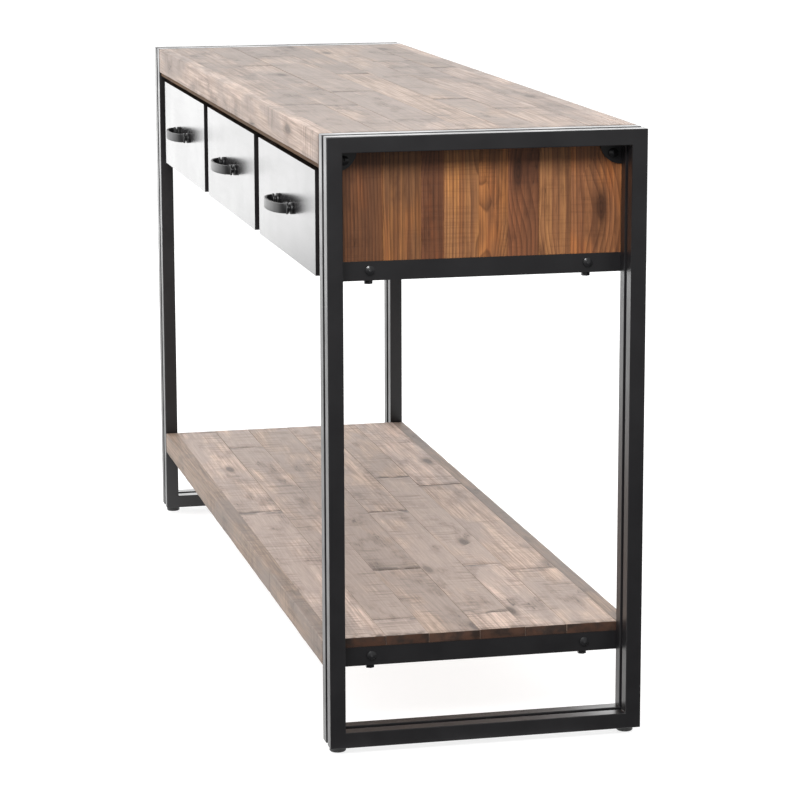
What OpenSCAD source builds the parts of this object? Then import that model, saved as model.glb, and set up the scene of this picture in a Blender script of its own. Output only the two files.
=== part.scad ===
// Console table: two steel end frames carry a plank top, a case of three drawers and a plank shelf.
// The origin is on the floor, under the middle of the space that the table and its drawer pulls take.
// X runs along the table, the drawers face -Y, and Z is up. All lengths are millimetres.

/* [Overall] */
// Length over the two end frames
table_l = 1400; // [1300:10:1600]
// Depth over the legs, without the drawer pulls
table_d = 406; // [380:2:450]
// Height from the floor to the top of the frames
table_h = 779; // [760:1:800]

/* [Steel end frames] */
// Width of one frame tube, along the table
bar_w = 18; // [16:1:20]
// Depth of one frame tube, across the table, and the height of the rails
bar_d = 20; // [18:1:22]
// Open groove between the two tubes of a pair
bar_gap = 10; // [9:1:14]
// Wall of the frame tube
bar_wall = 1.5; // [1.2:0.1:2.5]
// Height of the glides under the legs
glide_h = 9; // [5:1:12]
// Radius of the glides
glide_r = 10.5; // [9:0.5:12]

/* [Angle rails] */
// Height of the upright flange of the case and shelf rails
angle_h = 24; // [20:1:30]
// Width of the flat flange under the wood
angle_w = 28; // [24:1:34]
// Thickness of the rails and the corner plates
angle_t = 3; // [2.5:0.5:4]
// Distance of the rail bolts from the middle of the table's depth
bolt_y = 140; // [100:5:150]

/* [Top and shelf] */
// Thickness of the planks
plank_t = 20; // [18:1:22]
// Height of the strips along the front and back edges of the top
edge_h = 38; // [34:1:42]
// Height of those strips on the shelf
shelf_edge_h = 33; // [32:1:40]
// Thickness of the strips
edge_t = 18; // [16:1:22]
// Joint between neighbouring planks
joint_gap = 0.5; // [0.3:0.1:1]
// Height of the shelf's upper face
shelf_z = 138; // [120:1:200]

/* [Drawer case] */
// Height of the underside of the case rails
case_z = 595; // [570:1:600]
// Thickness of the end panels, floor and dividers
panel_t = 18; // [15:1:20]
// Thickness of the board over the drawers
case_top_t = 6; // [6:1:12]

/* [Drawers] */
// Thickness of a drawer front
front_t = 20; // [16:1:22]
// Distance of the drawer fronts behind the front of the legs
front_recess = 3; // [2:0.5:6]
// Gap between two drawer fronts
front_gap = 35; // [30:1:40]
// Gap between an end frame and the nearest drawer front
end_gap = 40; // [34:1:46]
// Thickness of the drawer sides and backs
side_t = 12; // [10:1:14]
// Thickness of the drawer bottoms
bottom_t = 6; // [4:1:8]

/* [Pulls] */
// Distance between the two feet of a pull
pull_pitch = 96; // [80:2:110]
// Height of the pull's bow
pull_h = 13; // [10:1:15]
// Thickness of the pull's bow
pull_t = 4; // [3:0.5:5]
// Distance that a pull stands out from its drawer front
pull_reach = 27; // [24:1:32]

/* [Hidden] */
$fn = 48;
// How far a cut runs past the faces that it opens
over = 1;

// Plank widths from the back to the front, as shares of the depth between the edge strips
top_shares = [42, 60, 50, 50, 65, 45, 58];
shelf_shares = [67, 55, 60, 67, 56, 65];

// The pulls reach further forward than the legs, so the legs sit that much towards the back
reach = pull_reach - front_recess;
front_y = reach - (table_d + reach) / 2;
back_y = front_y + table_d;
mid_y = (front_y + back_y) / 2;

// Planes along the length
half_l = table_l / 2;
frame_t = 2 * bar_w + bar_gap;
inner_x = half_l - frame_t;
wood_x = inner_x - angle_t;
panel_x = wood_x - panel_t;
groove_x = inner_x + bar_w;

// Heights
rail_top_z = table_h - bar_d;
plank_z = table_h - plank_t;
edge_z = table_h - edge_h;
case_top_z = edge_z - case_top_t;
floor_z = case_z + angle_t;
bay_z = floor_z + panel_t;
shelf_plank_z = shelf_z - plank_t;
shelf_edge_z = shelf_z - shelf_edge_h;
shelf_rail_z = shelf_edge_z - angle_t;

// Depths of the case
wood_back_y = back_y - edge_t;
box_y = front_y + front_recess + front_t;
stile_t = 18;
stile_play = 2;
stile_y = box_y + stile_play;
bay_y = stile_y + stile_t;
back_panel_t = 16;
guide_h = 20;

// Drawers
front_w = (2 * inner_x - 2 * end_gap - 2 * front_gap) / 3;
pitch = front_w + front_gap;
stile_lap = 8;
bay_w = front_w - 2 * stile_lap;
stile_w = front_gap + 2 * stile_lap;
side_play = 1.5;
floor_play = 1;
top_play = 20;
back_play = 20;
box_w = bay_w - 2 * side_play;
box_z = bay_z + floor_play;
box_l = wood_back_y - back_play - box_y;
side_h = case_top_z - top_play - box_z;
front_lift = 2;
front_play = 6;
front_z = case_z + front_lift;
front_h = case_top_z - front_play - front_z;
bottom_lift = 6;
bottom_z = box_z + bottom_lift;
pull_z = front_z + front_h / 2;
foot_x = pull_pitch / 2;

// Fasteners
bolt_r = 3;
hole_r = 3.2;
bolt_head_r = 6;
bolt_head_h = 4.5;
bolt_z = 13;
lag_head_r = 5.8;
lag_head_h = 5;
lag_clear = 2;
lag_l = shelf_edge_h - plank_t + angle_t - lag_clear;
lag_inset = 9;
lag_x = inner_x - lag_inset;
gusset_r = 28;
gusset_lap = 14;
gusset_bolt = [11, -14];
screw_r = 2;
thread_r = 2.05;
screw_hole_r = 2.3;
screw_head_r = 4;
screw_head_h = 2.5;
stem_r = 3;
stem_hole_r = 3.1;
stem_l = 16;
glide_y = 14;

steel = [0.13, 0.125, 0.13];
bolt_steel = [0.09, 0.09, 0.095];
plank_wood = [0.72, 0.65, 0.60];
case_wood = [0.50, 0.30, 0.18];
inner_wood = [0.66, 0.52, 0.38];
front_black = [0.16, 0.155, 0.16];
black_plastic = [0.05, 0.05, 0.05];

// ---- helpers ----

// Everything is written for the right end, and the left end is its mirror image
module at_end(side) {
    if (side > 0) children();
    else mirror([1, 0, 0]) children();
}

module both_ends() {
    for (side = [1, -1]) at_end(side) children();
}

// Mirrors a front corner detail to the back, about the middle of the depth
module front_and_back() {
    children();
    translate([0, 2 * mid_y, 0]) mirror([0, 1, 0]) children();
}

module box_between(low, high) {
    translate(low) cube(high - low);
}

module along_x(r, x0, x1) {
    translate([x0, 0, 0]) rotate([0, 90, 0]) cylinder(r = r, h = x1 - x0);
}

module along_y(r, y0, y1) {
    translate([0, y0, 0]) rotate([-90, 0, 0]) cylinder(r = r, h = y1 - y0);
}

function share_sum(list, count, i = 0) = i >= count ? 0 : list[i] + share_sum(list, count, i + 1);
function row_y(list, i) =
    wood_back_y - (table_d - 2 * edge_t) * share_sum(list, i) / share_sum(list, len(list));

// ---- steel end frames ----

module tube_upright() {
    difference() {
        cube([bar_w, bar_d, table_h - glide_h]);
        translate([bar_wall, bar_wall, -over])
            cube([bar_w - 2 * bar_wall, bar_d - 2 * bar_wall, table_h - glide_h - bar_wall + over]);
    }
}

module tube_rail() {
    rail_l = table_d - 2 * bar_d;
    difference() {
        cube([bar_w, rail_l, bar_d]);
        translate([bar_wall, -over, bar_wall])
            cube([bar_w - 2 * bar_wall, rail_l + 2 * over, bar_d - 2 * bar_wall]);
    }
}

module tube_pair() {
    for (i = [0, 1]) translate([inner_x + i * (bar_w + bar_gap), 0, 0]) children();
}

module leg(side, y) {
    color(steel) at_end(side) tube_pair() translate([0, y, glide_h]) tube_upright();
}

module rail(side, z) {
    color(steel) at_end(side) tube_pair() translate([0, front_y + bar_d, z]) tube_rail();
}

// Short blocks in the groove hold the two tubes of a pair together
module frame_spacers() {
    inset = 4;
    block_l = 60;
    color(steel) both_ends() {
        front_and_back() {
            difference() {
                box_between([groove_x, front_y + inset, glide_h],
                            [groove_x + bar_gap, front_y + bar_d, glide_h + bar_d]);
                translate([groove_x + bar_gap / 2, front_y + glide_y, 0])
                    cylinder(r = stem_hole_r, h = glide_h + bar_d + over);
            }
            for (z = [table_h / 2, table_h - 2 * block_l])
                box_between([groove_x, front_y + inset, z],
                            [groove_x + bar_gap, front_y + bar_d - inset, z + block_l]);
        }
        for (z = [glide_h, rail_top_z])
            box_between([groove_x, mid_y - block_l / 2, z + inset],
                        [groove_x + bar_gap, mid_y + block_l / 2, z + bar_d - inset]);
    }
}

module glides() {
    rim = 1;
    color(black_plastic) both_ends() front_and_back()
        translate([groove_x + bar_gap / 2, front_y + glide_y, 0])
            rotate_extrude() polygon([
                [0, 0], [glide_r - rim, 0], [glide_r, rim], [glide_r, glide_h],
                [stem_r, glide_h], [stem_r, glide_h + stem_l], [0, glide_h + stem_l]
            ]);
}

// ---- angle rails, corner plates and fasteners ----

module angle_rail(side, z) {
    end_inset = 8;
    color(steel) at_end(side) difference() {
        union() {
            box_between([wood_x, front_y + end_inset, z], [inner_x, back_y - end_inset, z + angle_h]);
            box_between([inner_x - angle_w, front_y + end_inset, z],
                        [inner_x, back_y - end_inset, z + angle_t]);
        }
        for (s = [-1, 1]) translate([0, mid_y + s * bolt_y, 0]) {
            translate([0, 0, z + bolt_z]) along_x(hole_r, wood_x - over, inner_x + over);
            translate([lag_x, 0, z - over]) cylinder(r = hole_r, h = angle_t + 2 * over);
        }
    }
}

// Quarter-round plate in an upper corner, lapped behind the leg and the top rail
module corner_plates() {
    color(steel) both_ends() front_and_back()
        translate([wood_x, front_y + bar_d, rail_top_z]) rotate([90, 0, 90])
            linear_extrude(angle_t) difference() {
                union() {
                    intersection() {
                        circle(gusset_r);
                        translate([0, -gusset_r]) square(gusset_r);
                    }
                    translate([-gusset_lap, -gusset_r]) square([gusset_lap, gusset_r + gusset_lap]);
                    square([gusset_r, gusset_lap]);
                }
                translate(gusset_bolt) circle(hole_r);
            }
}

// Domed bolt head on the inner face of the frame, with its shank in the plate
module frame_bolt() {
    along_x(bolt_r, wood_x, inner_x + bolt_head_h / 2);
    translate([inner_x, 0, 0]) rotate([0, 90, 0]) rotate_extrude() intersection() {
        square([bolt_head_r, bolt_head_h]);
        translate([0, bolt_head_h - 2 * bolt_head_r]) circle(2 * bolt_head_r);
    }
}

module frame_bolts() {
    color(bolt_steel) both_ends() {
        for (z = [case_z, shelf_rail_z], s = [-1, 1])
            translate([0, mid_y + s * bolt_y, z + bolt_z]) frame_bolt();
        front_and_back()
            translate([0, front_y + bar_d + gusset_bolt[0], rail_top_z + gusset_bolt[1]]) frame_bolt();
    }
}

// Hexagon heads under the flat flanges, with their shanks up into the wood
module rail_lag_bolts() {
    color(bolt_steel) both_ends()
        for (z = [case_z, shelf_rail_z], s = [-1, 1])
            translate([lag_x, mid_y + s * bolt_y, z]) {
                translate([0, 0, -lag_head_h]) cylinder(r = lag_head_r, h = lag_head_h, $fn = 6);
                cylinder(r = bolt_r, h = lag_l);
            }
}

module lag_holes(z) {
    for (s = [-1, 1])
        translate([lag_x, mid_y + s * bolt_y, z - over])
            cylinder(r = hole_r, h = lag_l - angle_t + 2 * over);
}

// ---- planks ----

module board(shares, i, z) {
    color(plank_wood) box_between(
        [-wood_x, row_y(shares, i + 1) + joint_gap / 2, z],
        [wood_x, row_y(shares, i) - joint_gap / 2, z + plank_t]);
}

module edge_strips(z, h) {
    color(plank_wood) front_and_back()
        box_between([-wood_x, front_y, z], [wood_x, front_y + edge_t, z + h]);
}

module shelf_cleats() {
    cleat_w = 50;
    color(case_wood) both_ends() difference() {
        box_between([wood_x - cleat_w, front_y + edge_t, shelf_edge_z],
                    [wood_x, wood_back_y, shelf_plank_z]);
        lag_holes(shelf_edge_z);
    }
}

// ---- drawer case ----

module end_panel(side) {
    color(case_wood) at_end(side) difference() {
        box_between([panel_x, front_y + edge_t, floor_z], [wood_x, wood_back_y, plank_z]);
        lag_holes(floor_z);
    }
}

module case_floor() {
    color(case_wood) box_between([-panel_x, stile_y, floor_z], [panel_x, wood_back_y, bay_z]);
}

// The board over the drawers, with a front lip that runs under the top's edge strip
module case_top() {
    lip_y = front_y + front_recess;
    color(case_wood) union() {
        box_between([-panel_x, lip_y, case_top_z], [panel_x, wood_back_y, edge_z]);
        box_between([-wood_x, lip_y, case_top_z], [wood_x, front_y + edge_t, edge_z]);
    }
}

module back_panel() {
    color(case_wood)
        box_between([-wood_x, wood_back_y, floor_z], [wood_x, wood_back_y + back_panel_t, edge_z]);
}

module divider(side) {
    color(case_wood) at_end(side) box_between(
        [pitch / 2 - panel_t / 2, bay_y, bay_z], [pitch / 2 + panel_t / 2, wood_back_y, case_top_z]);
}

module front_stiles() {
    color(case_wood) both_ends() {
        box_between([pitch / 2 - stile_w / 2, stile_y, bay_z], [pitch / 2 + stile_w / 2, bay_y, case_top_z]);
        box_between([pitch + bay_w / 2, stile_y, bay_z], [panel_x, bay_y, case_top_z]);
    }
}

// Strips on the case floor that keep each drawer straight
module drawer_guides() {
    color(inner_wood) both_ends() for (span = [
        [pitch / 2 - stile_w / 2, pitch / 2 - panel_t / 2],
        [pitch / 2 + panel_t / 2, pitch / 2 + stile_w / 2],
        [pitch + bay_w / 2, panel_x]
    ]) box_between([span[0], bay_y, bay_z], [span[1], wood_back_y, bay_z + guide_h]);
}

// ---- drawers, each at its own place along the length ----

module drawer_front(x) {
    color(front_black) difference() {
        box_between([x - front_w / 2, box_y - front_t, front_z],
                    [x + front_w / 2, box_y, front_z + front_h]);
        for (s = [-1, 1])
            translate([x + s * foot_x, 0, pull_z])
                along_y(screw_hole_r, box_y - front_t - over, box_y + over);
    }
}

module drawer_sides(x) {
    color(inner_wood) for (s = [-1, 1])
        translate([x + s * (box_w - side_t) / 2 - side_t / 2, box_y, box_z]) cube([side_t, box_l, side_h]);
}

module drawer_back(x) {
    inner_w = box_w - 2 * side_t;
    color(inner_wood)
        translate([x - inner_w / 2, box_y + box_l - side_t, box_z]) cube([inner_w, side_t, side_h]);
}

module drawer_bottom(x) {
    inner_w = box_w - 2 * side_t;
    color(inner_wood)
        translate([x - inner_w / 2, box_y, bottom_z]) cube([inner_w, box_l - side_t, bottom_t]);
}

// Half an ellipse that bulges forward, with its straight side moved back
module bow_outline(half, rise, back) {
    steps = 36;
    polygon(concat(
        [[half, back]],
        [for (i = [0 : steps]) [half * cos(180 * i / steps), -rise * sin(180 * i / steps)]],
        [[-half, back]]));
}

// Flat bow on two round feet, each a rosette, a neck and a collar
module pull(x) {
    rosette_r = 7.75;
    rosette_t = 4.5;
    neck_r = 4;
    neck_l = 1.5;
    collar_r = 7.5;
    collar_t = 3.5;
    blind_end = 1;
    bow_y = rosette_t + neck_l + collar_t;
    bow_rise = pull_reach - bow_y;
    color(steel) translate([x, box_y - front_t, pull_z]) difference() {
        union() {
            for (s = [-1, 1]) translate([s * foot_x, 0, 0]) {
                along_y(rosette_r, -rosette_t, 0);
                along_y(neck_r, -bow_y + collar_t / 2, -rosette_t / 2);
                along_y(collar_r, -bow_y, -rosette_t - neck_l);
            }
            translate([0, -bow_y, -pull_h / 2]) linear_extrude(pull_h) difference() {
                bow_outline(foot_x + pull_t / 2, bow_rise, over);
                bow_outline(foot_x - pull_t / 2, bow_rise - pull_t, 2 * over);
            }
        }
        for (s = [-1, 1]) translate([s * foot_x, 0, 0])
            along_y(thread_r, blind_end - rosette_t - neck_l, over);
    }
}

module pull_screws(x) {
    thread_l = 4;
    color(bolt_steel) for (s = [-1, 1]) translate([x + s * foot_x, 0, pull_z]) {
        along_y(screw_r, box_y - front_t - thread_l, box_y + screw_head_h / 2);
        along_y(screw_head_r, box_y, box_y + screw_head_h);
    }
}

leg(1, front_y);  // right_front_leg
leg(1, back_y - bar_d);  // right_back_leg
rail(1, rail_top_z);  // right_top_rail
rail(1, glide_h);  // right_bottom_rail
leg(-1, front_y);  // left_front_leg
leg(-1, back_y - bar_d);  // left_back_leg
rail(-1, rail_top_z);  // left_top_rail
rail(-1, glide_h);  // left_bottom_rail
frame_spacers();
glides();
angle_rail(1, case_z);  // right_case_rail
angle_rail(-1, case_z);  // left_case_rail
angle_rail(1, shelf_rail_z);  // right_shelf_rail
angle_rail(-1, shelf_rail_z);  // left_shelf_rail
corner_plates();
frame_bolts();
rail_lag_bolts();
board(top_shares, 0, plank_z);  // top_board_1
board(top_shares, 1, plank_z);  // top_board_2
board(top_shares, 2, plank_z);  // top_board_3
board(top_shares, 3, plank_z);  // top_board_4
board(top_shares, 4, plank_z);  // top_board_5
board(top_shares, 5, plank_z);  // top_board_6
board(top_shares, 6, plank_z);  // top_board_7
edge_strips(edge_z, edge_h);  // top_edge_strips
board(shelf_shares, 0, shelf_plank_z);  // shelf_board_1
board(shelf_shares, 1, shelf_plank_z);  // shelf_board_2
board(shelf_shares, 2, shelf_plank_z);  // shelf_board_3
board(shelf_shares, 3, shelf_plank_z);  // shelf_board_4
board(shelf_shares, 4, shelf_plank_z);  // shelf_board_5
board(shelf_shares, 5, shelf_plank_z);  // shelf_board_6
edge_strips(shelf_edge_z, shelf_edge_h);  // shelf_edge_strips
shelf_cleats();
end_panel(1);  // right_end_panel
end_panel(-1);  // left_end_panel
case_floor();
case_top();
back_panel();
divider(-1);  // left_divider
divider(1);  // right_divider
front_stiles();
drawer_guides();
drawer_front(-pitch);  // left_drawer_front
drawer_sides(-pitch);  // left_drawer_sides
drawer_back(-pitch);  // left_drawer_back
drawer_bottom(-pitch);  // left_drawer_bottom
pull(-pitch);  // left_pull
pull_screws(-pitch);  // left_pull_screws
drawer_front(0);  // middle_drawer_front
drawer_sides(0);  // middle_drawer_sides
drawer_back(0);  // middle_drawer_back
drawer_bottom(0);  // middle_drawer_bottom
pull(0);  // middle_pull
pull_screws(0);  // middle_pull_screws
drawer_front(pitch);  // right_drawer_front
drawer_sides(pitch);  // right_drawer_sides
drawer_back(pitch);  // right_drawer_back
drawer_bottom(pitch);  // right_drawer_bottom
pull(pitch);  // right_pull
pull_screws(pitch);  // right_pull_screws
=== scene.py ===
"""Looks of the console table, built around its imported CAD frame. All lengths are metres."""
import math
import random

import bpy
from mathutils import Matrix, Vector, noise


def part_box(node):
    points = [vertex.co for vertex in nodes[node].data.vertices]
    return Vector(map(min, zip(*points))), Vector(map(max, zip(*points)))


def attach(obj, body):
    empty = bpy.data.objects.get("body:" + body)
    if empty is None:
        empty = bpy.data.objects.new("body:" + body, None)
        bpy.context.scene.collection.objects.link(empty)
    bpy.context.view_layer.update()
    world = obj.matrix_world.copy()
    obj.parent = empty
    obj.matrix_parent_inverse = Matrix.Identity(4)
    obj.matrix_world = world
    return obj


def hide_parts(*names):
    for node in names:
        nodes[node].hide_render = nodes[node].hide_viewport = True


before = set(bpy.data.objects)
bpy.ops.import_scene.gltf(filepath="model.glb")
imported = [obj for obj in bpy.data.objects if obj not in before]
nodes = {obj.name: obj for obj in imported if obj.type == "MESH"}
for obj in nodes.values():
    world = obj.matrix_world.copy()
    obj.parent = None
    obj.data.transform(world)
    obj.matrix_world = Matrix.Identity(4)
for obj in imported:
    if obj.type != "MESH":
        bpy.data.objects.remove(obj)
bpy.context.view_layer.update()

MM = 0.001


# ---- Node trees ----

class Nodes:
    """A node tree. Most of the methods add a node to it and return the node's output."""

    def __init__(self, tree):
        self.tree = tree

    def plug(self, socket, value):
        if isinstance(value, bpy.types.NodeSocket):
            self.tree.links.new(value, socket)
        elif socket.type == "RGBA":
            socket.default_value = (*value, 1.0)
        else:
            socket.default_value = value

    def node(self, kind, inputs=None, **settings):
        made = self.tree.nodes.new(kind)
        for key, value in settings.items():
            setattr(made, key, value)
        for key, value in (inputs or {}).items():
            self.plug(made.inputs[key], value)
        return made

    def math(self, operation, *values):
        made = self.node("ShaderNodeMath", operation=operation)
        for socket, value in zip(made.inputs, values):
            self.plug(socket, value)
        return made.outputs[0]

    def times(self, first, *others):
        for other in others:
            first = self.math("MULTIPLY", first, other)
        return first

    def vector_math(self, operation, *values):
        made = self.node("ShaderNodeVectorMath", operation=operation)
        for socket, value in zip(made.inputs, values):
            self.plug(socket, value)
        return made.outputs

    def stretch(self, vector, x, y, z):
        return self.vector_math("MULTIPLY", vector, (x, y, z))["Vector"]

    def length(self, vector):
        return self.vector_math("LENGTH", vector)["Value"]

    def split(self, vector):
        return self.node("ShaderNodeSeparateXYZ", {"Vector": vector}).outputs

    def join(self, x, y, z):
        return self.node("ShaderNodeCombineXYZ", {"X": x, "Y": y, "Z": z}).outputs[0]

    def noise(self, vector, scale=1.0, detail=2.0, roughness=0.5):
        inputs = {"Vector": vector, "Scale": scale, "Detail": detail, "Roughness": roughness}
        return self.node("ShaderNodeTexNoise", inputs).outputs[0]

    def grain(self, place, along, across, detail=2.0, roughness=0.5):
        """Noise drawn out along the first axis. along and across are its cells per metre."""
        return self.noise(self.stretch(place, along, across, across), 1.0, detail, roughness)

    def span(self, value, low, high, to_low=0.0, to_high=1.0):
        """Maps low to high smoothly onto to_low to to_high, held at both ends."""
        inputs = {"Value": value, "From Min": low, "From Max": high, "To Min": to_low, "To Max": to_high}
        return self.node("ShaderNodeMapRange", inputs, interpolation_type="SMOOTHSTEP").outputs[0]

    def fade(self, value, full, gone):
        """1 up to full, falling smoothly to 0 at gone."""
        return self.span(value, full, gone, 1.0, 0.0)

    def mix(self, factor, first, second, blend="MIX"):
        made = self.node("ShaderNodeMix", data_type="RGBA", blend_type=blend)
        colours = [socket for socket in made.inputs if socket.type == "RGBA"]
        self.plug(made.inputs[0], factor)
        self.plug(colours[0], first)
        self.plug(colours[1], second)
        return [socket for socket in made.outputs if socket.type == "RGBA"][0]

    def shade(self, colour, level):
        return self.mix(1.0, colour, self.join(level, level, level), "MULTIPLY")

    def bump(self, height, distance, strength):
        inputs = {"Height": height, "Distance": distance, "Strength": strength}
        return self.node("ShaderNodeBump", inputs).outputs[0]

    def place(self):
        return self.node("ShaderNodeTexCoord").outputs["Object"]

    def attribute(self, name, output="Vector"):
        return self.node("ShaderNodeAttribute", attribute_name=name).outputs[output]


class Finish(Nodes):
    """One procedural material."""

    def __init__(self, name):
        self.material = bpy.data.materials.new(name)
        self.material.use_nodes = True
        super().__init__(self.material.node_tree)
        self.shader = self.tree.nodes["Principled BSDF"]

    def set(self, **sockets):
        """Values for the shader's own sockets: spaces in their names are written as underscores."""
        for key, value in sockets.items():
            self.plug(self.shader.inputs[key.replace("_", " ")], value)


# ---- Paint and plastic ----

def black_paint(name, base, roughness, orange_peel):
    """Satin black paint: faint orange peel, cloudy gloss, fine rubs and a little settled dust."""
    finish = Finish(name)
    place = finish.place()
    cloud = finish.noise(place, scale=16.0, detail=4.0, roughness=0.6)
    peel = finish.noise(place, scale=700.0)
    drawn_up = finish.stretch(place, 500.0, 500.0, 24.0)
    rub = finish.span(finish.noise(drawn_up, detail=3.0, roughness=0.7), 0.64, 0.8)
    dust = finish.span(finish.noise(place, scale=2200.0, detail=1.0), 0.72, 0.8)
    light = tuple(channel * 1.9 + 0.006 for channel in base)
    dust_grey = (0.12, 0.115, 0.11)
    colour = finish.mix(finish.times(cloud, 0.5), base, light)
    colour = finish.mix(finish.times(dust, 0.16), colour, dust_grey)
    cloudy = finish.span(cloud, 0.3, 0.7, roughness - 0.04, roughness + 0.06)
    relief = finish.math("MULTIPLY_ADD", rub, 0.25, finish.times(peel, 0.75))
    finish.set(Base_Color=colour, Roughness=finish.math("ADD", cloudy, finish.times(rub, 0.08)),
               Normal=finish.bump(relief, orange_peel, 0.5))
    return finish.material


def front_paint(name):
    """Black paint brushed along the boards of the drawer fronts, with their grain showing faintly."""
    finish = Finish(name)
    place = finish.place()
    cloud = finish.noise(place, scale=9.0, detail=3.0, roughness=0.55)
    grain = finish.grain(place, along=14.0, across=300.0, detail=3.0, roughness=0.6)
    nick = finish.span(finish.noise(place, scale=160.0), 0.74, 0.78)
    dark, light, bare = (0.010, 0.0095, 0.010), (0.022, 0.021, 0.022), (0.09, 0.075, 0.06)
    colour = finish.mix(finish.times(nick, 0.5), finish.mix(cloud, dark, light), bare)
    rough = finish.math("MULTIPLY_ADD", grain, 0.03, finish.span(cloud, 0.3, 0.7, 0.22, 0.245))
    finish.set(Base_Color=colour, Roughness=rough, Normal=finish.bump(grain, 0.02 * MM, 0.5))
    return finish.material


def black_plastic(name):
    finish = Finish(name)
    mottle = finish.noise(finish.place(), scale=1800.0)
    finish.set(Base_Color=finish.mix(mottle, (0.010, 0.010, 0.010), (0.028, 0.028, 0.028)),
               Roughness=finish.span(mottle, 0.3, 0.7, 0.42, 0.58),
               Normal=finish.bump(mottle, 0.05 * MM, 0.4))
    return finish.material


# ---- Wood ----

RINGS_PER_METRE = 230.0
END_DIRT = 22 * MM
# Width of the lightened upper edges: rubbed wear and a painted highlight
RUBBED_AND_HIGHLIT_EDGE = 2.5 * MM


def board_values(finish, grain):
    """Fibre coordinates: along the grain, then two across it from the pith. Then (tone, hue, wear) of the
    board, (distance from its end, from its edge, smudging) and how much is end grain there. A CAD node
    carries none of these and gets plain ones."""
    if grain is None:
        return (finish.attribute("fibre"), finish.split(finish.attribute("board")),
                finish.split(finish.attribute("edge")), finish.attribute("cut", "Fac"))
    x, y, z = finish.split(finish.place())
    place = finish.join(*{"x": (x, y, z), "y": (y, x, z), "z": (z, y, x)}[grain])
    return place, (0.5, 0.5, 0.5), (1.0, 1.0, 0.0), 0.0


def knot_field(finish, place, share):
    """Distance from the nearest knot, in cells, and 1 where that knot is kept. Knots are the centres of
    stretched cells, and only about that share of them is kept."""
    cells = finish.node("ShaderNodeTexVoronoi", voronoi_dimensions="2D",
                        inputs={"Vector": finish.stretch(place, 5.0, 15.0, 1.0), "Scale": 1.0}).outputs
    kept = finish.span(finish.split(cells["Color"])[0], 0.99 - share, 1.01 - share)
    return cells["Distance"], kept


def growth_rings(finish, place, swirl):
    """Dark late wood of the rings round the pith. They wander a little, and swirl round the knots."""
    wander = finish.grain(place, along=2.2, across=7.0)
    wobble = finish.grain(place, along=7.0, across=50.0)
    along, across, through = finish.split(place)
    radius = finish.length(finish.join(0.0, across, through))
    radius = finish.math("MULTIPLY_ADD", wander, 22 * MM, radius)
    radius = finish.math("MULTIPLY_ADD", wobble, 2.5 * MM, radius)
    radius = finish.math("MULTIPLY_ADD", swirl, 12 * MM, radius)
    phase = finish.math("FRACT", finish.times(radius, RINGS_PER_METRE))
    return finish.times(finish.math("POWER", phase, 1.8), finish.fade(phase, 0.88, 1.0))


def drying_cracks(finish, place, stain):
    """Long thin cracks in a few places."""
    line = finish.math("ABSOLUTE", finish.math("SUBTRACT", finish.grain(place, 6.0, 150.0, 1.0), 0.5))
    return finish.times(finish.fade(line, 0.0, 0.014), finish.span(stain, 0.56, 0.66))


def saw_marks(finish, place, amount):
    """Marks across the grain, in patches."""
    teeth = finish.span(finish.grain(place, along=380.0, across=11.0, detail=1.0), 0.5, 0.66)
    return finish.times(teeth, finish.span(finish.grain(place, along=9.0, across=20.0), 0.42, 0.6), amount)


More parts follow.
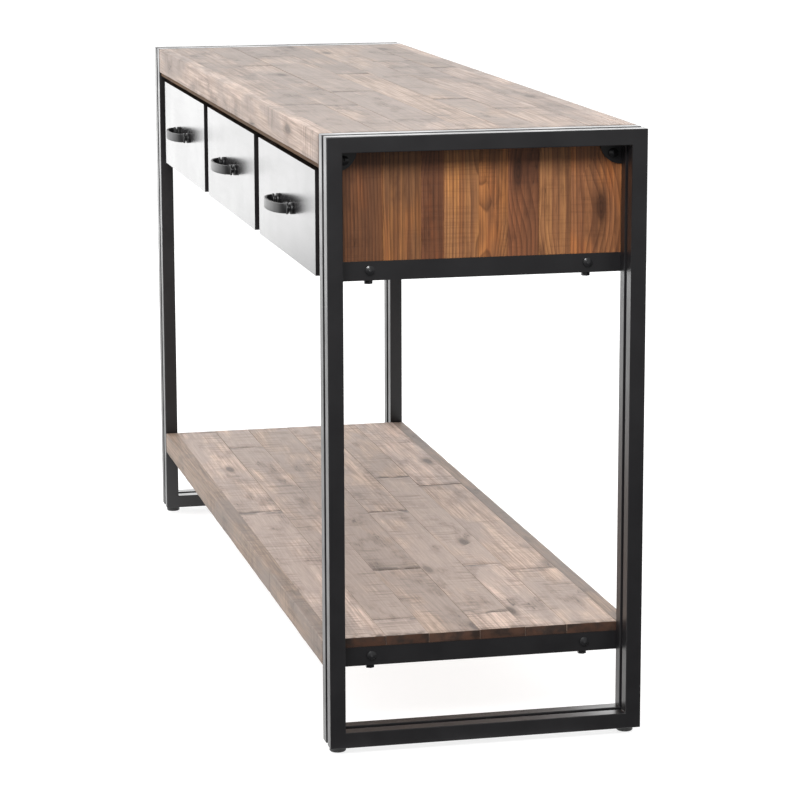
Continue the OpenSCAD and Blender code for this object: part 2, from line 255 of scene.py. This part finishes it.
def wood(name, light, tan, grey, dark, rings, weathering, stains, saw, knots, roughness, sheen_level,
         grain=None):
    """Planks. Each of rings, weathering, stains, saw and knots is how much of that feature shows. grain is
    the axis that the grain runs along, or None where the mesh carries its own fibre coordinates."""
    finish = Finish(name)
    place, board, spot, cut = board_values(finish, grain)
    tone, hue, worn = board
    end_distance, edge_distance, smudge = spot
    blackish = tuple(channel * 0.3 for channel in dark)

    from_knot, kept = knot_field(finish, place, knots)
    knot = finish.times(finish.fade(from_knot, 0.05, 0.13), kept)
    swirl = finish.times(finish.fade(from_knot, 0.03, 0.5), kept)
    ring = growth_rings(finish, place, swirl)
    fibre = finish.grain(place, along=26.0, across=900.0, detail=3.0, roughness=0.7)
    thread = finish.grain(place, along=9.0, across=420.0, roughness=0.6)
    streak = finish.grain(place, along=4.0, across=110.0, detail=3.0, roughness=0.6)
    patch = finish.grain(place, along=5.0, across=16.0, detail=4.0, roughness=0.6)
    stain = finish.grain(place, along=10.0, across=26.0, detail=4.0, roughness=0.65)
    blotch = finish.grain(place, along=60.0, across=60.0, detail=3.0)
    crack = drying_cracks(finish, place, stain)
    teeth = saw_marks(finish, place, saw)

    # The wood itself: its hue, streaks, weathering, rings and stains, and the tone of each board
    colour = finish.mix(finish.span(hue, 0.0, 1.0), light, tan)
    streaky = finish.times(finish.span(streak, 0.36, 0.66), 0.6)
    colour = finish.mix(streaky, colour, finish.mix(0.5, tan, dark))
    colour = finish.shade(colour, finish.span(thread, 0.3, 0.7, 0.74, 1.24))
    greyed = finish.span(finish.math("MULTIPLY_ADD", worn, 0.25, patch), 0.5, 0.68)
    colour = finish.mix(finish.times(greyed, weathering), colour, grey)
    colour = finish.mix(finish.times(ring, rings), colour, dark)
    colour = finish.mix(finish.times(finish.span(stain, 0.5, 0.74), stains), colour, dark)
    colour = finish.shade(colour, finish.span(fibre, 0.25, 0.75, 0.84, 1.15))
    colour = finish.shade(colour, finish.span(tone, 0.0, 1.0, 0.7, 1.45))

    # Knots have rings of their own and a dark surround
    knot_ring = finish.span(finish.math("SINE", finish.times(from_knot, 150.0)), -1.0, 1.0)
    colour = finish.mix(finish.times(knot, 0.8), colour, finish.mix(knot_ring, blackish, dark))
    colour = finish.mix(finish.times(finish.fade(from_knot, 0.1, 0.22), kept, 0.35), colour, dark)

    # Cracks, saw marks, dirt where boards end, upper edges lightened as rubbed wear and as a painted
    # highlight, and darker end grain
    colour = finish.mix(finish.times(crack, 0.7), colour, blackish)
    colour = finish.mix(finish.times(teeth, 0.5), colour, dark)
    dirt = finish.times(finish.fade(end_distance, 0.0, END_DIRT), smudge, finish.span(blotch, 0.4, 0.62))
    colour = finish.mix(finish.times(dirt, 0.8), colour, blackish)
    spotty = finish.span(blotch, 0.35, 0.65)
    # Upper edges lightened: partly rubbed wear, partly a painted highlight along them
    rubbed_and_highlit = finish.times(finish.fade(edge_distance, 0.0, RUBBED_AND_HIGHLIT_EDGE), spotty)
    colour = finish.mix(finish.times(rubbed_and_highlit, 0.2), colour, light)
    end_grain = finish.mix(spotty, (0.018, 0.009, 0.006), (0.075, 0.034, 0.02))
    colour = finish.mix(finish.times(cut, 0.95), colour, end_grain)

    rough = finish.span(fibre, 0.2, 0.8, roughness - 0.07, roughness + 0.08)
    relief = finish.math("MULTIPLY_ADD", ring, 0.3 * rings, finish.times(fibre, 0.4))
    for dent, depth in ((teeth, 0.9), (crack, 1.4), (knot, 0.5)):
        relief = finish.math("MULTIPLY_ADD", dent, -depth, relief)
    finish.set(Base_Color=colour, Roughness=rough, Specular_IOR_Level=sheen_level,
               Normal=finish.bump(relief, 0.25 * MM, 0.7))
    return finish.material


# The colours are linear. PALE is the top and the shelf, WARM the case and RAW the drawer boxes. The last
# palette is the case's wood darkened as painted shade, for the board over the drawers that lies in the
# shade under the top's overhang.
PALE = dict(
    light=(0.44, 0.337, 0.285), tan=(0.375, 0.272, 0.205), grey=(0.265, 0.213, 0.185),
    dark=(0.10, 0.07, 0.055),
    rings=0.1, weathering=0.8, stains=0.55, saw=1.0, knots=0.15, roughness=0.64, sheen_level=0.3)
WARM = dict(
    light=(0.47, 0.20, 0.06), tan=(0.34, 0.095, 0.028), grey=(0.15, 0.075, 0.04),
    dark=(0.055, 0.018, 0.008),
    rings=0.7, weathering=0.55, stains=0.65, saw=0.3, knots=0.45, roughness=0.46, sheen_level=0.4)
RAW = dict(
    light=(0.50, 0.35, 0.20), tan=(0.44, 0.29, 0.15), grey=(0.40, 0.30, 0.20),
    dark=(0.26, 0.15, 0.07),
    rings=0.4, weathering=0.1, stains=0.1, saw=0.0, knots=0.1, roughness=0.55, sheen_level=0.4)
SHADED_WARM = dict(
    light=(0.15, 0.085, 0.045), tan=(0.11, 0.055, 0.025), grey=(0.08, 0.055, 0.035),
    dark=(0.04, 0.02, 0.01),
    rings=0.4, weathering=0.4, stains=0.5, saw=0.2, knots=0.1, roughness=0.8, sheen_level=0.12)

steel = black_paint("black_steel", (0.0085, 0.008, 0.009), roughness=0.33, orange_peel=0.04 * MM)
pull_black = black_paint("pull_black", (0.006, 0.006, 0.0065), roughness=0.44, orange_peel=0.06 * MM)
bolt_steel = black_paint("bolt_steel", (0.012, 0.012, 0.013), roughness=0.22, orange_peel=0.06 * MM)
fronts_black = front_paint("front_paint")
glide_plastic = black_plastic("glide_plastic")
pale_planks = wood("pale_planks", **PALE)
warm_planks = wood("warm_planks", **WARM)
case_x = wood("case_x", grain="x", **WARM)
# The board over the drawers: the case's wood with its colours darkened as painted shade, and little sheen
shaded_lip_wood = wood("shaded_lip_wood", grain="x", **SHADED_WARM)
case_y = wood("case_y", grain="y", **WARM)
case_z = wood("case_z", grain="z", **WARM)
drawer_x = wood("drawer_x", grain="x", **RAW)
drawer_y = wood("drawer_y", grain="y", **RAW)


# ---- Pieces made as meshes ----

def add_piece(name, verts, faces, material, body, replaced, smooth_angle=35):
    """A mesh piece that rides on a body and stands for the CAD nodes that it replaces."""
    mesh = bpy.data.meshes.new(name)
    mesh.from_pydata(verts, [], faces)
    mesh.materials.append(material)
    mesh.shade_smooth()
    mesh.set_sharp_from_angle(angle=math.radians(smooth_angle))
    piece = bpy.data.objects.new(name, mesh)
    bpy.context.scene.collection.objects.link(piece)
    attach(piece, body)
    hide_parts(*replaced)
    return piece


def tube_faces(base, rings, size):
    """The sides of a tube whose rings of that many points follow one another from base on."""
    for i in range(rings - 1):
        first, second = base + i * size, base + (i + 1) * size
        for j in range(size):
            k = (j + 1) % size
            yield first + j, second + j, second + k, first + k


def tube_ends(base, rings, size):
    last = base + (rings - 1) * size
    return [tuple(range(base, base + size)), tuple(reversed(range(last, last + size)))]


class Planks:
    """Boards that go into one piece. Each is a worn bar whose broad upper face looks along up.

    Within a board, a runs along its grain, b across it and c up through it, from its middle.
    """

    AXES = {"x": Vector((1, 0, 0)), "y": Vector((0, 1, 0)), "z": Vector((0, 0, 1))}
    STEP = 12 * MM                             # between cross-sections
    ACROSS = 7 * MM                            # between points over the upper face
    ARC = [math.pi / 8 * i for i in range(5)]  # quarter turn of a rounded upper edge
    CHAMFER = 0.3 * MM                         # along the lower edges
    EDGE_ROUND = (0.5, 1.3)                    # mean round of an upper edge, against the board's wear
    END_ROUND = 0.8                            # round of the ends, against the board's wear
    END_SHARES = (0.0, 0.12, 0.4, 1.0)         # cross-sections over a rounded end
    END_CUT = 0.75                             # share of end grain there
    PITH_ASIDE = (0.35, 1.3)                   # distance of the pith from the middle, in widths
    PITH_BELOW = (8 * MM, 35 * MM)             # and below the middle
    SLOPE = 0.02                               # most that the fibres run off
    LIFT = 0.25 * MM                           # most that a board stands out or lies back
    SWELL, RIPPLE = 0.3 * MM, 0.12 * MM        # relief of the upper face

    def __init__(self, seed):
        self.random = random.Random(seed)
        self.verts, self.faces = [], []
        self.fibre, self.board, self.edge, self.cut = [], [], [], []

    def stations(self, length, end_round):
        """Places of the cross-sections along a board, closer together at its rounded ends."""
        ends = [end_round * share for share in self.END_SHARES]
        count = max(1, round((length - 2 * end_round) / self.STEP))
        inner = [end_round + (length - 2 * end_round) * i / count for i in range(1, count)]
        return ends + inner + [length - end for end in reversed(ends)]

    def wear_at(self, a, side, seed):
        """Round of an upper edge there, against its mean: a slow change, and a few short chips."""
        slow = noise.noise(Vector((a * 22, side * 9.0, 0)) + seed)
        chip = max(0.0, noise.noise(Vector((a * 60, 5 + side * 9.0, 0)) + seed) - 0.45) * 4
        return 1 + 0.5 * slow + chip

    def section(self, half, top, corners, inner):
        """Outline of a cross-section: two rounded upper edges and two small lower chamfers."""
        left, right = ([(sign * (half - r + r * math.cos(t)), top - r + r * math.sin(t)) for t in self.ARC]
                       for sign, r in zip((-1, 1), corners))
        start, run = -half + corners[0], 2 * half - corners[0] - corners[1]
        across = [(start + run * i / inner, top) for i in range(1, inner)]
        foot = -top + self.CHAMFER
        return [(-half, foot), *left, *across, *reversed(right), (half, foot),
                (half - self.CHAMFER, -top), (-half + self.CHAMFER, -top)]

    def relief(self, a, b, seed):
        """Height of the worn upper face: a slow swell, and a ripple that is finer."""
        swell = noise.noise(Vector((a * 9, b * 30, 3)) + seed)
        ripple = noise.noise(Vector((a * 40, b * 140, 7)) + seed)
        return self.SWELL * swell + self.RIPPLE * ripple

    def add(self, low, high, grain, up, wear, tone, hue, smudge, weather):
        """A board between two corners. wear sets the size of its rounded edges, in millimetres."""
        rng = self.random
        low, high = Vector(low), Vector(high)
        middle, size = (low + high) / 2, high - low
        a_axis = self.AXES[grain]
        c_axis = self.AXES[up[1]] * (1 if up[0] == "+" else -1)
        b_axis = c_axis.cross(a_axis)
        length, width, depth = (abs(size.dot(axis)) for axis in (a_axis, b_axis, c_axis))
        seed = Vector((rng.uniform(0, 90), rng.uniform(0, 90), rng.uniform(0, 90)))
        pith_b = rng.choice((-1, 1)) * rng.uniform(*self.PITH_ASIDE) * width
        pith_c = -rng.uniform(*self.PITH_BELOW)
        slope, lift = rng.uniform(-self.SLOPE, self.SLOPE), rng.uniform(-self.LIFT, self.LIFT)
        rounds = [wear * rng.uniform(*self.EDGE_ROUND) * MM for _ in range(2)]
        end_round = self.END_ROUND * wear * MM
        most_round = min(0.2 * width, 0.4 * depth)

        inner = max(2, round(width / self.ACROSS))
        stations = self.stations(length, end_round)
        base = len(self.verts)
        for s in stations:
            a = s - length / 2
            from_end = min(s, length - s)
            inset = end_round * (1 - math.sqrt(1 - (1 - min(1.0, from_end / end_round)) ** 2))
            corners = [min(rounds[side] * self.wear_at(a, side, seed), most_round) for side in (0, 1)]
            outline = self.section(width / 2 - inset, depth / 2 - inset, corners, inner)
            for b, c in outline:
                upper = max(0.0, (c + depth / 2) / depth) ** 4
                raised = c + (lift + self.relief(a, b, seed)) * upper
                self.verts.append(middle + a_axis * a + b_axis * b + c_axis * raised)
                self.fibre.append((a + seed.x, b - pith_b + slope * a, c - pith_c))
                self.board.append((tone, hue, weather))
                self.edge.append((from_end, width / 2 - abs(b) + (depth / 2 - c), smudge))

        self.faces += tube_faces(base, len(stations), len(outline))
        self.faces += tube_ends(base, len(stations), len(outline))
        end_rings = len(self.END_SHARES) - 2
        for i in range(len(stations) - 1):
            at_end = i < end_rings or i > len(stations) - 2 - end_rings
            self.cut += [self.END_CUT if at_end else 0.0] * len(outline)
        self.cut += [1.0, 1.0]

    def build(self, name, material, replaced):
        piece = add_piece(name, self.verts, self.faces, material, "table", replaced)
        for label, values in (("fibre", self.fibre), ("board", self.board), ("edge", self.edge)):
            layer = piece.data.attributes.new(label, "FLOAT_VECTOR", "POINT")
            layer.data.foreach_set("vector", [number for value in values for number in value])
        layer = piece.data.attributes.new("cut", "FLOAT", "FACE")
        layer.data.foreach_set("value", self.cut)


def plank_row(name, cuts, tones, seed):
    """One CAD row of the top or the shelf, cut into boards at those shares of its length."""
    half_gap = 0.15 * MM
    low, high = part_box(name)
    planks = Planks(seed)
    rng = random.Random(seed + 100)
    marks = [0.0, *cuts, 1.0]
    for start, end in zip(marks, marks[1:]):
        x0 = low.x + (high.x - low.x) * start + (half_gap if start else 0)
        x1 = low.x + (high.x - low.x) * end - (half_gap if end < 1 else 0)
        planks.add((x0, low.y, low.z), (x1, high.y, high.z), "x", "+z", wear=rng.uniform(0.15, 0.55),
                   tone=rng.uniform(*tones), hue=rng.uniform(0.1, 0.8), smudge=rng.uniform(0.3, 1.0),
                   weather=rng.uniform(0.1, 0.9))
    planks.build(name + "_boards", pale_planks, [name])


def edge_strips(name, tone, hue, seed):
    """The thick strips along the front and back edges."""
    low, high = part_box(name)
    thickness = high.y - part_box(name.replace("edge_strips", "board_1"))[1].y
    looks = dict(wear=1.5, tone=tone, hue=hue, smudge=0.0)
    planks = Planks(seed)
    planks.add(low, (high.x, low.y + thickness, high.z), "x", "-y", weather=0.3, **looks)
    planks.add((low.x, high.y - thickness, low.z), high, "x", "+y", weather=0.6, **looks)
    planks.build(name + "_wood", pale_planks, [name])


# Upright planks of an end panel from front to back: share of its depth, tone and hue
PANEL_PLAN = [(0.17, 0.2, 0.6), (0.13, 0.35, 0.3), (0.08, 0.3, 1.0), (0.12, 0.85, 0.0),
              (0.10, 0.55, 0.4), (0.11, 0.5, 0.85), (0.11, 0.95, 0.05), (0.18, 0.75, 0.5)]


def end_panel(name, outward, seed):
    half_gap = 0.05 * MM
    low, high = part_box(name)
    planks = Planks(seed)
    y0 = low.y
    for share, tone, hue in PANEL_PLAN:
        y1 = y0 + (high.y - low.y) * share
        planks.add((low.x, y0 + half_gap, low.z), (high.x, min(y1, high.y) - half_gap, high.z),
                   "z", outward, wear=0.35, tone=tone, hue=hue, smudge=0.0, weather=planks.random.random())
        y0 = y1
    planks.build(name + "_planks", warm_planks, [name])


def back_planks():
    """Four rows of planks, each of two lengths that meet at a place of its own."""
    half_gap = 0.1 * MM
    low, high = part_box("back_panel")
    planks = Planks(71)
    z0 = low.z
    for share in (0.28, 0.26, 0.24, 0.22):
        z1 = z0 + (high.z - low.z) * share
        cut = low.x + (high.x - low.x) * planks.random.uniform(0.3, 0.7)
        for x0, x1 in ((low.x, cut - half_gap), (cut + half_gap, high.x)):
            planks.add((x0, low.y, z0 + half_gap), (x1, high.y, z1 - half_gap), "x", "+y", wear=0.6,
                       tone=planks.random.uniform(0.3, 0.8), hue=planks.random.random(),
                       smudge=0.5, weather=0.5)
        z0 = z1
    planks.build("back_panel_planks", warm_planks, ["back_panel"])


def round_edges(piece, width, segments=2):
    bevel = piece.modifiers.new("bevel", "BEVEL")
    bevel.width = width
    bevel.segments = segments
    bevel.limit_method = "ANGLE"
    bevel.angle_limit = math.radians(40)


def frame_loops(side):
    """The two closed loops of square tube at one end, welded and ground flush at their corners."""
    parts = [f"{side}_{part}" for part in ("front_leg", "back_leg", "top_rail", "bottom_rail")]
    low = Vector([min(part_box(part)[0][i] for part in parts) for i in range(3)])
    high = Vector([max(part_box(part)[1][i] for part in parts) for i in range(3)])
    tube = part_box("right_top_rail")[1].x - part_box("frame_spacers")[1].x
    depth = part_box(f"{side}_top_rail")[0].y - low.y
    verts, faces = [], []
    for x0 in (low.x, high.x - tube):
        # 16 corners: the outer and the inner rectangle of one flat side, then of the other
        base = len(verts)
        for x in (x0, x0 + tube):
            for inset in (0.0, depth):
                for y, z in ((low.y + inset, low.z + inset), (high.y - inset, low.z + inset),
                             (high.y - inset, high.z - inset), (low.y + inset, high.z - inset)):
                    verts.append((x, y, z))
        for i in range(4):
            k = (i + 1) % 4
            for corners in ((i, 4 + i, 4 + k, k), (8 + i, 8 + k, 12 + k, 12 + i),
                            (i, k, 8 + k, 8 + i), (4 + i, 12 + i, 12 + k, 4 + k)):
                faces.append([base + n for n in corners])
    piece = add_piece(f"{side}_end_frame", verts, faces, steel, "table", parts)
    round_edges(piece, 0.9 * MM, 3)


# ---- Drawer pulls ----

PULL_FOOT_R, PULL_NECK_R, PULL_COLLAR_R = 7.75, 3.9, 7.5
PULL_FOOT_Y, PULL_NECK_Y, PULL_COLLAR_Y = 4.5, 6.0, 9.5
# (radius, y) in millimetres: a disc on the drawer front, a neck, and a collar that holds the bow
PULL_FOOT = [
    (0.0, 0.0), (PULL_FOOT_R - 0.45, 0.0), (PULL_FOOT_R, -0.6), (PULL_FOOT_R, 1.2 - PULL_FOOT_Y),
    (PULL_FOOT_R - 0.75, 0.2 - PULL_FOOT_Y), (PULL_NECK_R + 1.3, -PULL_FOOT_Y),
    (PULL_NECK_R + 0.1, -PULL_FOOT_Y - 0.4), (PULL_NECK_R, 0.4 - PULL_NECK_Y),
    (PULL_NECK_R + 1.5, -PULL_NECK_Y), (PULL_COLLAR_R - 0.5, -PULL_NECK_Y - 0.2),
    (PULL_COLLAR_R, -PULL_NECK_Y - 0.8), (PULL_COLLAR_R, 0.7 - PULL_COLLAR_Y),
    (PULL_COLLAR_R - 0.6, 0.1 - PULL_COLLAR_Y), (0.0, -PULL_COLLAR_Y)]
BOW_WIDTH, BOW_THICK, BOW_ROUND = 13 * MM, 4 * MM, 1.1 * MM
BOW_SUNK = 0.5 * MM       # how far the bow's ends go into the collars
BOW_STEPS = 56


def lathe(profile, centre, verts, faces, steps=40):
    """A turned shape about a line along Y. profile is (radius, y) in millimetres, from one end on the axis
    to the other."""
    base, count = len(verts), len(profile)
    for i in range(steps):
        angle = 2 * math.pi * i / steps
        for radius, y in profile:
            verts.append(centre + Vector((radius * math.cos(angle), y, radius * math.sin(angle))) * MM)
    for i in range(steps):
        first, second = base + i * count, base + (i + 1) % steps * count
        for j in range(count - 1):
            faces.append((first + j, second + j, second + j + 1, first + j + 1))


def bow_section():
    """Outline of the bow's bar, its corners rounded: (out from the bow's line, up)."""
    outline = []
    for u, w, start in ((1, 1, 0), (-1, 1, 90), (-1, -1, 180), (1, -1, 270)):
        for turn in (0, 30, 60, 90):
            t = math.radians(start + turn)
            outline.append((u * (BOW_THICK / 2 - BOW_ROUND) + BOW_ROUND * math.cos(t),
                            w * (BOW_WIDTH / 2 - BOW_ROUND) + BOW_ROUND * math.sin(t)))
    return outline


def pull(name, body):
    """A flat forged bow, swept along half an ellipse, between two turned feet."""
    low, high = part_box(name)
    collar_y = PULL_COLLAR_Y * MM
    half = (high.x - low.x) / 2 - PULL_FOOT_R * MM
    rise = (high.y - low.y) - collar_y - BOW_THICK / 2
    mid = Vector(((low.x + high.x) / 2, high.y, (low.z + high.z) / 2))
    verts, faces = [], []
    for x in (-half, half):
        lathe(PULL_FOOT, mid + Vector((x, 0, 0)), verts, faces)

    base, section = len(verts), bow_section()
    for i in range(BOW_STEPS + 1):
        t = math.pi * i / BOW_STEPS
        at = Vector((half * math.cos(t), -collar_y + BOW_SUNK - rise * math.sin(t), 0))
        out = Vector((rise * math.cos(t), -half * math.sin(t), 0)).normalized()
        hammered = 1 + 0.05 * noise.noise(Vector((i * 0.35, mid.x * 9, 0)))
        verts += [mid + at + out * u * hammered + Vector((0, 0, w)) for u, w in section]
    faces += tube_faces(base, BOW_STEPS + 1, len(section))
    faces += tube_ends(base, BOW_STEPS + 1, len(section))
    add_piece(name + "_bow", verts, faces, pull_black, body, [name], smooth_angle=50)


# ---- All the pieces ----

# Where the boards of each row meet, from the back row to the front one: shares of the length
TOP_CUTS = [[0.35], [0.25, 0.82], [0.71], [0.40], [0.15, 0.61], [0.27, 0.75], [0.73]]
SHELF_CUTS = [[0.37, 0.78], [0.32, 0.75], [0.49, 0.94], [0.75], [0.11, 0.94], [0.46]]
for number, cuts in enumerate(TOP_CUTS, 1):
    plank_row(f"top_board_{number}", cuts, tones=(0.2, 0.36), seed=10 + number)
# The shelf's boards get higher tones than the top's: painted light, brightening the shelf that lies in the
# shade under the case
for number, cuts in enumerate(SHELF_CUTS, 1):
    plank_row(f"shelf_board_{number}", cuts, tones=(0.5, 0.8), seed=30 + number)
edge_strips("top_edge_strips", tone=0.46, hue=0.3, seed=51)
edge_strips("shelf_edge_strips", tone=0.1, hue=0.9, seed=52)
end_panel("right_end_panel", "+x", seed=61)
end_panel("left_end_panel", "-x", seed=62)
back_planks()
for side in ("right", "left"):
    frame_loops(side)
for drawer in ("left", "middle", "right"):
    pull(f"{drawer}_pull", f"{drawer}_drawer")


# ---- Materials and rounded edges on the CAD nodes that stay ----

def is_fixing(name):
    return "bolts" in name or "screws" in name


def finish_for(name):
    if name == "glides":
        return glide_plastic
    if is_fixing(name):
        return bolt_steel
    if "drawer_front" in name:
        return fronts_black
    if "drawer_sides" in name or name == "drawer_guides":
        return drawer_y
    if "drawer_back" in name or "drawer_bottom" in name:
        return drawer_x
    if name == "front_stiles":
        return case_z
    # The board over the drawers gets the case's wood darkened as painted shade
    if name == "case_top":
        return shaded_lip_wood
    if name == "case_floor":
        return case_x
    if name in ("shelf_cleats", "left_divider", "right_divider"):
        return case_y
    return steel


for name, cad_object in nodes.items():
    if not cad_object.hide_render:
        cad_object.data.materials.clear()
        cad_object.data.materials.append(finish_for(name))
        round_edges(cad_object, (0.4 if is_fixing(name) else 0.7) * MM)


# ---- Floor, light and camera ----

def studio_floor():
    """A pale disc that ends just past the right end frame, so that the black legs don't mirror it."""
    steps, radius, centre_x = 96, 2.2, -1.48
    turns = [2 * math.pi * i / steps for i in range(steps)]
    verts = [(centre_x + radius * math.cos(turn), radius * math.sin(turn), 0.0) for turn in turns]
    mesh = bpy.data.meshes.new("floor")
    mesh.from_pydata(verts, [], [tuple(range(steps))])
    floor = bpy.data.objects.new("floor", mesh)
    bpy.context.scene.collection.objects.link(floor)
    finish = Finish("floor")
    tint = finish.noise(finish.place(), scale=3.0)
    finish.set(Base_Color=finish.mix(tint, (0.32, 0.32, 0.32), (0.35, 0.35, 0.35)), Roughness=0.8,
               Emission_Color=(1.0, 1.0, 1.0), Emission_Strength=0.8)
    mesh.materials.append(finish.material)


def studio_world():
    """White behind everything. Its light is strong from -X, moderate from above and weak from +X."""
    bright_side = Vector((-0.97, -0.22, 0.0)).normalized()
    world = bpy.data.worlds.new("studio")
    world.use_nodes = True
    bpy.context.scene.world = world
    sky = Nodes(world.node_tree)
    direction = sky.node("ShaderNodeTexCoord").outputs["Generated"]
    facing = sky.vector_math("DOT_PRODUCT", direction, bright_side)["Value"]
    from_side = sky.span(facing, -0.35, 0.9, 0.1, 2.42)
    from_above = sky.span(sky.split(direction)["Z"], -0.3, -0.03, 0.0, 0.4)
    seen = sky.node("ShaderNodeLightPath").outputs["Is Camera Ray"]
    light = sky.math("ADD", from_side, from_above)
    strength = sky.node("ShaderNodeMix", {"Factor": seen, "A": light, "B": 1.15}).outputs[0]
    background = sky.tree.nodes["Background"]
    sky.plug(background.inputs["Strength"], strength)
    sky.plug(background.inputs["Color"], (1.0, 1.0, 1.0))


def softbox(name, location, target, size, power):
    """A round lamp that the camera doesn't see."""
    lamp = bpy.data.lights.new(name, "AREA")
    lamp.shape = "DISK"
    lamp.size = size
    lamp.energy = power
    holder = bpy.data.objects.new(name, lamp)
    holder.location = location
    holder.rotation_mode = "QUATERNION"
    holder.rotation_quaternion = (Vector(target) - Vector(location)).to_track_quat("-Z", "Y")
    holder.visible_camera = False
    bpy.context.scene.collection.objects.link(holder)


def studio_camera():
    """A long lens beyond the right end, a little towards the front and above the table's top."""
    azimuth, elevation, roll = math.radians(77.024), math.radians(11.2686), math.radians(-0.14)
    camera = bpy.data.objects.new("camera", bpy.data.cameras.new("camera"))
    camera.data.lens = 136.15
    camera.data.sensor_width = 36.0
    camera.location = (4.2639, -0.9217, 1.1809)
    back = Vector((math.sin(azimuth) * math.cos(elevation), -math.cos(azimuth) * math.cos(elevation),
                   math.sin(elevation)))
    level = (-back).to_track_quat("-Z", "Y")
    camera.rotation_mode = "QUATERNION"
    camera.rotation_quaternion = level @ Matrix.Rotation(roll, 4, "Z").to_quaternion()
    bpy.context.scene.collection.objects.link(camera)
    bpy.context.scene.camera = camera


studio_floor()
studio_world()
softbox("key", location=(2.7, -0.7, 2.0), target=(0.65, 0.0, 0.6), size=0.9, power=58.0)
studio_camera()
bpy.context.scene.view_settings.view_transform = "Standard"
